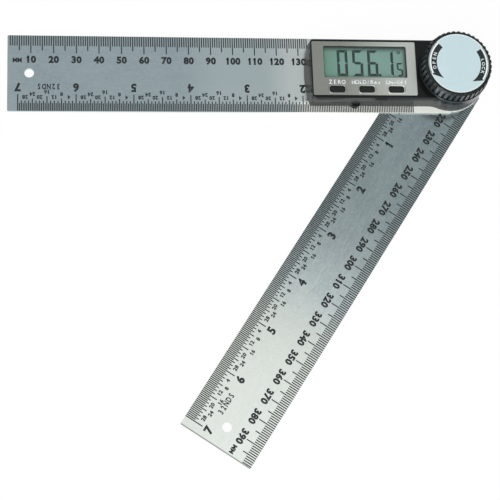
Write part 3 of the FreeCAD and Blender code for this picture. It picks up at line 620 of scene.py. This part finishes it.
def stamp(drawing, character, centre, up, height, weight=0.02, narrow=1.0):
    """Draws one letter of the given height about its centre, with its top towards up."""
    key = (character, weight)
    if key not in LETTERS:
        LETTERS[key] = letter_mesh(character, weight)
    before = len(drawing.verts)
    drawing.from_mesh(LETTERS[key])
    drawing.verts.ensure_lookup_table()
    turn = math.atan2(-up[0], up[1])
    move = Matrix.Translation((centre[0], centre[1], 0)) @ Matrix.Rotation(turn, 4, "Z")
    move = move @ Matrix.Diagonal((height * narrow, height, 1, 1))
    bmesh.ops.transform(drawing, matrix=move, verts=drawing.verts[before:])


def word(drawing, text, centre, up, height, pitch, weight=0.02, narrow=1.0):
    """Letters at an even pitch, centred as a whole."""
    right = Vector((up[1], -up[0]))
    for i, character in enumerate(text):
        shift = (i - (len(text) - 1) / 2) * pitch
        stamp(drawing, character, Vector(centre) + right * shift, up, height, weight, narrow)


print("font height", FONT_HEIGHT)

# %% [markdown]
# ## The two scales
# Both rules carry the same pattern: millimetres along one edge and thirty-seconds of an inch
# along the other. A place on a rule is given by how far out it is from the pivot and how far
# it is from an edge, and two directions turn that into a point, so one function draws both
# rules. The print doesn't sit quite in the middle of either strip, so each rule has its own
# table: how much is added to the ticks, how far in the numbers stand, where the millimetre mark
# is and how far the whole print is moved outwards. Lettering has a height, a pitch, a weight
# and, where it is narrower than the font, a share of the font's width.

# %% Scale sizes in millimetres
INCH = 25.4
INCH_ZERO = 17.83
LAST_INCH = 7
TICK_WIDTH = 0.48
MM_TICKS = {10: 7.9, 5: 6.6, 1: 4.4}
INCH_TICKS = {32: 7.7, 16: 6.7, 8: 5.6, 2: 4.7, 1: 3.6}
SMALL_LABELS = {4: 6.3, 12: 6.3, 20: 6.3, 28: 6.3, 8: 7.7, 24: 7.7, 16: 8.7}
UPPER_PRINT = {"mm_ticks": 0.4, "mm_numbers": 11.2, "unit": 195.9,
               "inch_ticks": 0.1, "inch_numbers": 10.95, "outwards": -0.2}
LOWER_PRINT = {"mm_ticks": 0.0, "mm_numbers": 10.15, "unit": 196.7,
               "inch_ticks": 0.9, "inch_numbers": 11.5, "outwards": 0.2}
UPPER_FIRST_MM = 66
LOWER_FIRST_MM = 5
MM_NUMBER = (2.95, 2.3, 0.055)
MM_UNIT = (2.0, 2.05, 0.04, 0.92)
MM_UNIT_INSET = 0.4
INCH_NUMBER = (3.5, 2.6, 0.05)
INCH_LABEL = (1.62, 1.25, 0.05)
INCH_UNIT = (2.45, 2.1, 0.035, 0.7)
INCH_UNIT_INSET = 0.35
INCH_UNIT_PLACE = INCH_ZERO + 6.47 * INCH


def tick_length(lengths, count):
    return next(length for step, length in lengths.items() if count % step == 0)


# %% Draw one rule


def draw_scale(name, body, z, out, mm_edge, mm_number, first_mm, sizes):
    """out points from the pivot to the free end, mm_edge to the millimetre edge."""
    drawing = bmesh.new()
    out = Vector(out)
    mm_edge = Vector(mm_edge)
    inch_edge = -mm_edge

    def spot(distance, edge, inset):
        return out * (distance + sizes["outwards"]) + edge * (RULE_HALF_WIDTH - inset)

    for count in range(first_mm, int(RULE_REACH)):
        length = tick_length(MM_TICKS, count) + sizes["mm_ticks"]
        stroke(drawing, spot(count, mm_edge, 0), spot(count, mm_edge, length), TICK_WIDTH)
        if count % 10 == 0:
            word(drawing, str(mm_number(count)), spot(count, mm_edge, sizes["mm_numbers"]),
                 mm_edge, *MM_NUMBER)
    word(drawing, "MM", spot(sizes["unit"], mm_edge, sizes["mm_numbers"] + MM_UNIT_INSET),
         mm_edge, *MM_UNIT)
    for count in range(LAST_INCH * 32 + 1):
        distance = INCH_ZERO + count * INCH / 32
        length = tick_length(INCH_TICKS, count) + sizes["inch_ticks"]
        stroke(drawing, spot(distance, inch_edge, 0), spot(distance, inch_edge, length), TICK_WIDTH)
        if count % 32 in SMALL_LABELS:
            inset = SMALL_LABELS[count % 32] + sizes["inch_ticks"]
            word(drawing, str(count % 32), spot(distance, inch_edge, inset), inch_edge, *INCH_LABEL)
        if count % 32 == 0 and count:
            word(drawing, str(count // 32), spot(distance, inch_edge, sizes["inch_numbers"]),
                 inch_edge, *INCH_NUMBER)
    unit_inset = sizes["inch_numbers"] + INCH_UNIT_INSET
    word(drawing, "32NDS", spot(INCH_UNIT_PLACE, inch_edge, unit_inset), inch_edge, *INCH_UNIT)
    return lay(drawing, name, etch_ink, z, body)


lower_out = (-math.cos(FOLD), -math.sin(FOLD))
lower_mm_edge = (math.sin(FOLD), -math.cos(FOLD))
draw_scale("upper_scale", "upper_arm", high("upper_rule").z, (-1, 0), (0, 1),
           lambda d: int(RULE_REACH) - d, UPPER_FIRST_MM, UPPER_PRINT)
draw_scale("lower_scale", "lower_arm", high("lower_rule").z, lower_out, lower_mm_edge,
           lambda d: int(RULE_REACH) + d, LOWER_FIRST_MM, LOWER_PRINT)

# %% [markdown]
# ## The digits of the display
# A seven-segment digit is seven bars with mitred ends and a hair of space between them. The
# bars lie on the front glass. The small digit at the right counts twentieths, and a ring
# marks degrees.

# %% Digit segments
SEGMENTS = {"0": "abcdef", "1": "bc", "5": "acdfg", "6": "acdefg"}
LARGE_DIGITS = (("0", -53.55), ("5", -46.5), ("6", -39.6), ("1", -32.5))
DIGIT_HEIGHT = 12.4
DIGIT_WIDTH = 4.85
DIGIT_FOOT = -3.2
STROKE = 1.25
SEGMENT_GAP = 0.08
SMALL_DIGIT_X = -26.15
SMALL_DIGIT_SIZE = (2.8, 6.5, 0.8)
POINT_X = -34.6
POINT_SIZE = 1.15
DEGREE_X = -25.1
DEGREE_Y = 8.3
DEGREE_HOLE = 0.4
DEGREE_RIM = 0.82
DEGREE_STEPS = 16


def digit(drawing, character, x, foot, width, height, thick):
    """x is the left edge. Only the left half's shapes are written; mirrors give the rest."""
    half = width / 2
    rise = height / 2
    gap = SEGMENT_GAP
    top_bar = [(gap - half, rise), (half - gap, rise), (half - thick - gap, rise - thick),
               (thick + gap - half, rise - thick)]
    left_bar = [(-half, rise - gap), (thick - half, rise - thick - gap), (thick - half, thick / 2 + gap),
                (thick / 2 - half, gap), (-half, gap)]
    middle_bar = [(thick / 2 + gap - half, 0), (thick + gap - half, thick / 2),
                  (half - thick - gap, thick / 2), (half - thick / 2 - gap, 0),
                  (half - thick - gap, -thick / 2), (thick + gap - half, -thick / 2)]
    shapes = {"a": (top_bar, 1, 1), "d": (top_bar, 1, -1), "g": (middle_bar, 1, 1),
              "f": (left_bar, 1, 1), "b": (left_bar, -1, 1), "e": (left_bar, 1, -1),
              "c": (left_bar, -1, -1)}
    for segment in SEGMENTS[character]:
        shape, flip_x, flip_y = shapes[segment]
        outline(drawing, [(x + half + flip_x * a, foot + rise + flip_y * b) for a, b in shape])


# %% Draw the reading
reading = bmesh.new()
for character, x in LARGE_DIGITS:
    digit(reading, character, x, DIGIT_FOOT, DIGIT_WIDTH, DIGIT_HEIGHT, STROKE)
digit(reading, "5", SMALL_DIGIT_X, DIGIT_FOOT, *SMALL_DIGIT_SIZE)
outline(reading, [(POINT_X + x * POINT_SIZE, DIGIT_FOOT + y * POINT_SIZE)
                  for x, y in ((0, 0), (1, 0), (1, 1), (0, 1))])
for i in range(DEGREE_STEPS):
    a = 2 * math.pi * i / DEGREE_STEPS
    b = 2 * math.pi * (i + 1) / DEGREE_STEPS
    outline(reading, [(DEGREE_X + r * math.cos(t), DEGREE_Y + r * math.sin(t)) for r, t in
                      ((DEGREE_HOLE, a), (DEGREE_RIM, a), (DEGREE_RIM, b), (DEGREE_HOLE, b))])
bmesh.ops.remove_doubles(reading, verts=reading.verts, dist=SAME_POINT)
lay(reading, "display_digits", crystal, GLASS_TOP, "upper_arm")

# %% [markdown]
# ## The display's seal and painted shade
# Two glasses are glued together round their edge, and the glue shows as a dark frame with
# rounded inner corners. The frame is also painted shade: it stands in for the shade that the
# window's walls cast on the glass. It is a ring between two rounded rectangles. A helper gives
# the corner points of such a rectangle at any margin, and the key holes further on use it too.

# %% Seal of the display, also painted shade
CORNERS = ((1, 1), (-1, 1), (-1, -1), (1, -1))
SEAL_WIDTH = 0.45
SEAL_CORNER = 1.1
SEAL_UNDER_PLATE = 0.3


def rounded_outline(middle, length, width, corner, margin=0.0):
    """Points of a rounded rectangle, moved outwards by a margin."""
    points = []
    for quarter, (side_x, side_y) in enumerate(CORNERS):
        centre_x = middle[0] + side_x * (length / 2 - corner)
        centre_y = middle[1] + side_y * (width / 2 - corner)
        for step in range(5):
            x, y = polar(corner + margin, quarter * 90 + step * 22.5)
            points.append((centre_x + x, centre_y + y))
    return points


def ring_between(drawing, inner, outer):
    for i in range(len(inner)):
        outline(drawing, [inner[i - 1], inner[i], outer[i], outer[i - 1]])


window_middle = ((WINDOW_FAR + WINDOW_NEAR) / 2, (WINDOW_FRONT + WINDOW_BACK) / 2)
window_size = (WINDOW_NEAR - WINDOW_FAR, WINDOW_BACK - WINDOW_FRONT)
# The dark seal frame is also painted shade from the window's walls.
seal = bmesh.new()
ring_between(seal, rounded_outline(window_middle, *window_size, SEAL_CORNER + SEAL_WIDTH, -SEAL_WIDTH),
             rounded_outline(window_middle, *window_size, SEAL_CORNER + SEAL_WIDTH,
                             SEAL_UNDER_PLATE))
bmesh.ops.remove_doubles(seal, verts=seal.verts, dist=SAME_POINT)
lay(seal, "display_seal_and_shade", seal_glue_and_shade, GLASS_TOP, "upper_arm")

# %% [markdown]
# ## Words on the plate
# The key names are white screen print. Only plain function words are printed, and the rest of
# the plate stays bare.

# %% Key names
KEY_NAMES = (("ZERO", -54.3, 1.95), ("HOLD/Rev", -41.0, 1.68), ("ON/OFF", -27.0, 1.68))
NAME_Y = -6.5
NAME_HEIGHT = 1.95
NAME_WEIGHT = 0.015
NAME_NARROW = 0.88

names = bmesh.new()
for text, x, pitch in KEY_NAMES:
    word(names, text, (x, NAME_Y), (0, 1), NAME_HEIGHT, pitch, NAME_WEIGHT, NAME_NARROW)
lay(names, "key_names", white_ink, PLATE_TOP, "upper_arm")

# %% [markdown]
# ## Lips of the key holes
# The sheet is drawn up a little round each key, and the slope in front of a key catches the
# light. Each lip is a closed ring of three-cornered section round the hole, made from the
# hole's rounded outline at three distances from the key.

# %% Key lips
KEY_LENGTH = 6.7
KEY_WIDTH = 2.8
KEY_CORNER = 1.0
LIP_SECTION = ((0.15, -0.04), (0.5, 0.22), (0.85, 0.0))

lips = bmesh.new()
for key_node in ("zero_button", "hold_button", "power_button"):
    middle = (low(key_node) + high(key_node)) / 2
    rings = [[lips.verts.new((x, y, PLATE_TOP + rise)) for x, y in
              rounded_outline(middle, KEY_LENGTH, KEY_WIDTH, KEY_CORNER, margin)]
             for margin, rise in LIP_SECTION]
    for inner, outer in zip(rings, rings[1:] + rings[:1]):
        for i in range(len(inner)):
            lips.faces.new([inner[i - 1], inner[i], outer[i], outer[i - 1]])
make_piece(lips, "key_lips", plate_metal, "upper_arm")

# %% [markdown]
# ## Arrows on the knob
# Two black bands follow the rim and end in arrow heads: one way opens the lock, the other way
# closes it. A band is part of a ring, so it is drawn as short steps round an arc, and the head
# is a triangle with its inner side on the band's circle. Angles are in degrees from the X axis.

# %% Arrow drawing
BAND_INNER = 10.15
BAND_OUTER = 12.65
RIM_OUTER = 13.7
RIM_LINE = (RIM_OUTER - 0.25, RIM_OUTER + 0.1)
ARROWS = ({"band": (133, 201), "head": (200, 202, 224), "edge": (133, 200)},
          {"band": (33, -36), "head": (-35, -36, -57), "edge": (33, -34)})


def band(drawing, inner, outer, start, end):
    """A strip of ring between two angles."""
    steps = max(2, int(abs(end - start) / 5))
    angles = [start + (end - start) * i / steps for i in range(steps + 1)]
    outline(drawing, [polar(inner, a) for a in angles] + [polar(outer, a) for a in angles[::-1]])


def arrow_head(drawing, root, barb, tip):
    """From the band's end to a barb at the rim, then to a tip on the band's inner circle."""
    arc = [polar(BAND_INNER, root + (tip - root) * i / 4) for i in range(5)]
    outline(drawing, arc + [polar(RIM_OUTER, barb)])


disc_ink = bmesh.new()
for arrow in ARROWS:
    band(disc_ink, BAND_INNER, BAND_OUTER, *arrow["band"])
    arrow_head(disc_ink, *arrow["head"])
lay(disc_ink, "arrow_print", disc_black, DISC_TOP, "lock_knob")

disc_white = bmesh.new()
for arrow in ARROWS:
    band(disc_white, BAND_OUTER, RIM_OUTER, *arrow["edge"])
ring_between(disc_white, *[[polar(radius, angle) for angle in range(0, 360, 5)] for radius in RIM_LINE])
lay(disc_white, "rim_print", white_ink, DISC_TOP, "lock_knob")

# %% Words on the knob
KNOB_WORDS = (("OPEN", 190, 158), ("LOCK", 9, -21))
WORD_RADIUS = (BAND_INNER + BAND_OUTER) / 2
WORD_HEIGHT = 1.45

knob_words = bmesh.new()
for text, first, last in KNOB_WORDS:
    for i, character in enumerate(text):
        angle = first + (last - first) * i / (len(text) - 1)
        stamp(knob_words, character, polar(WORD_RADIUS, angle), polar(1, angle), WORD_HEIGHT)
lay(knob_words, "knob_words", white_ink, DISC_TOP + INK_THICKNESS, "lock_knob")

# %% [markdown]
# ## Floor
# The photograph has a white ground with hardly any shadow. More light would bleach the steel,
# so the floor is pale paper that shines a little by itself, only for what the camera or a
# mirror sees, and the rest of it is lit like any paper and so keeps a trace of shadow.

# %% White floor
FLOOR_SIZE = 3.0
FLOOR_GAP = 0.05
FLOOR_GLOW = 0.95

paper = bmesh.new()
bmesh.ops.create_grid(paper, x_segments=2, y_segments=2, size=FLOOR_SIZE / 2)
bmesh.ops.translate(paper, verts=paper.verts, vec=(0, 0, cad_box[0].z - FLOOR_GAP * MM))
floor_mesh = bpy.data.meshes.new("floor")
paper.to_mesh(floor_mesh)
paper.free()
floor = bpy.data.objects.new("floor", floor_mesh)
bpy.context.scene.collection.objects.link(floor)
white_paper = new_material("white_paper", "#f2f2f2", 0.9)
fibre = add(white_paper, "ShaderNodeTexNoise", {"Scale": 1.0, "Detail": 2.0},
            {"Vector": place(white_paper, 3.0)})
vary_colour(white_paper, fibre.outputs["Fac"], "#f0f0f0", "#f4f4f4")
rays = add(white_paper, "ShaderNodeLightPath", {})
seen = add(white_paper, "ShaderNodeMath", {"operation": "MAXIMUM"},
           {0: rays.outputs["Is Camera Ray"], 1: rays.outputs["Is Glossy Ray"]})
seen = add(white_paper, "ShaderNodeMath", {"operation": "MAXIMUM"},
           {0: seen.outputs[0], 1: rays.outputs["Is Transmission Ray"]})
share = add(white_paper, "ShaderNodeMath", {"operation": "MULTIPLY", 1: FLOOR_GLOW}, {0: seen.outputs[0]})
glow = add(white_paper, "ShaderNodeEmission", {"Color": linear("#ffffff"), "Strength": 1.0})
mixed = add(white_paper, "ShaderNodeMixShader", {},
            {0: share.outputs[0], 1: surface_of(white_paper).outputs[0], 2: glow.outputs[0]})
white_paper.node_tree.links.new(mixed.outputs[0],
                                white_paper.node_tree.nodes["Material Output"].inputs["Surface"])
floor_mesh.materials.append(white_paper)
print("floor", FLOOR_SIZE)

# %% [markdown]
# ## Light
# Steel shows what stands round it, so the world is a soft studio and not a plain colour. A
# small panel almost overhead shines in the far end of the lower rule, and a broad one in front
# lights the walls, ribs and edges that face it. Elsewhere the ceiling is grey and the room's
# walls are paler, so that the steel stays silver in low views. Each panel is a soft spot round
# a direction. Behind the floor's edge the camera alone sees white, so that a low view has a
# clean ground too.

# %% Studio world
# A panel has a direction, the angles at which it fades out, a colour and a strength.
ROOM = ("#f2fafb", 0.5)
PALE_WALLS = ("#f6fbfb", 0.3)
WALLS_TOP = 0.85
WALLS_FULL = 0.42
PANELS = [((0.1, 0.03, 1.0), 7.2, 11.6, "#fff6ee", 1.12),
          ((0.42, -0.6, 1.0), 20.0, 42.0, "#f6fbfb", 0.5)]


def glow_of(colour, strength):
    return [c * strength for c in linear(colour)[:3]]


world = bpy.data.worlds.new("studio")
bpy.context.scene.world = world
world.use_nodes = True
direction = add(world, "ShaderNodeTexCoord", {})
light = add(world, "ShaderNodeCombineXYZ", dict(enumerate(glow_of(*ROOM)))).outputs[0]
height = add(world, "ShaderNodeSeparateXYZ", {}, {0: direction.outputs["Generated"]})
walls = add(world, "ShaderNodeMapRange", {"interpolation_type": "SMOOTHSTEP", "From Min": WALLS_TOP,
                                          "From Max": WALLS_FULL}, {"Value": height.outputs["Z"]})
light = add(world, "ShaderNodeVectorMath", {"operation": "MULTIPLY_ADD", 1: glow_of(*PALE_WALLS)},
            {0: walls.outputs["Result"], 2: light}).outputs[0]
for towards, full, none, colour, strength in PANELS:
    near = add(world, "ShaderNodeVectorMath",
               {"operation": "DOT_PRODUCT", 1: Vector(towards).normalized()},
               {0: direction.outputs["Generated"]})
    spot = add(world, "ShaderNodeMapRange",
               {"interpolation_type": "SMOOTHSTEP", "From Min": math.cos(math.radians(none)),
                "From Max": math.cos(math.radians(full))}, {"Value": near.outputs["Value"]})
    light = add(world, "ShaderNodeVectorMath",
                {"operation": "MULTIPLY_ADD", 1: glow_of(colour, strength)},
                {0: spot.outputs["Result"], 2: light}).outputs[0]
sight = add(world, "ShaderNodeLightPath", {})
backdrop = add(world, "ShaderNodeMix", {"data_type": "RGBA", 7: linear("#ffffff")},
               {0: sight.outputs["Is Camera Ray"], 6: light})
sky = world.node_tree.nodes["Background"]
world.node_tree.links.new(backdrop.outputs[2], sky.inputs["Color"])
print("panels", len(PANELS))

# %% Key lamp
KEY_PLACE = Vector((-0.5, -0.75, 0.85))
KEY_AIM = Vector((-0.06, -0.04, 0))
KEY_SIZE = 0.8
KEY_WATTS = 8.5

key_data = bpy.data.lights.new("key", "AREA")
key_data.size = KEY_SIZE
key_data.energy = KEY_WATTS
key = bpy.data.objects.new("key", key_data)
key.location = KEY_PLACE
key.rotation_mode = "QUATERNION"
key.rotation_quaternion = (KEY_AIM - KEY_PLACE).to_track_quat("-Z", "Y")
bpy.context.scene.collection.objects.link(key)
bpy.context.scene.view_settings.view_transform = "Standard"
print("key lamp", KEY_WATTS)

# %% [markdown]
# ## Camera
# The camera stands where the photographer stood: the tick marks of both scales, read in the
# photograph, fix its place, its aim and its lens. It is turned by two degrees about its own
# line of sight.

# %% Camera
EYE = Vector((-157.92, -185.50, 500.83)) * MM
AIM = Vector((-95.08, -80.93, 3.43)) * MM
ROLL = math.radians(-2.06)
LENS = 84.27
SENSOR = 36.0

camera_data = bpy.data.cameras.new("camera")
camera_data.sensor_width = SENSOR
camera_data.lens = LENS
camera = bpy.data.objects.new("camera", camera_data)
look = (AIM - EYE).normalized()
right = look.cross(Vector((0, 1, 0))).normalized()
up = right.cross(look)
stand = Matrix((right, up, -look)).transposed().to_4x4()
camera.matrix_world = Matrix.Translation(EYE) @ stand @ Matrix.Rotation(ROLL, 4, "Z")
bpy.context.scene.collection.objects.link(camera)
bpy.context.scene.camera = camera
print("camera", [round(v, 4) for v in camera.location])

# %% Update the view layer
bpy.context.view_layer.update()
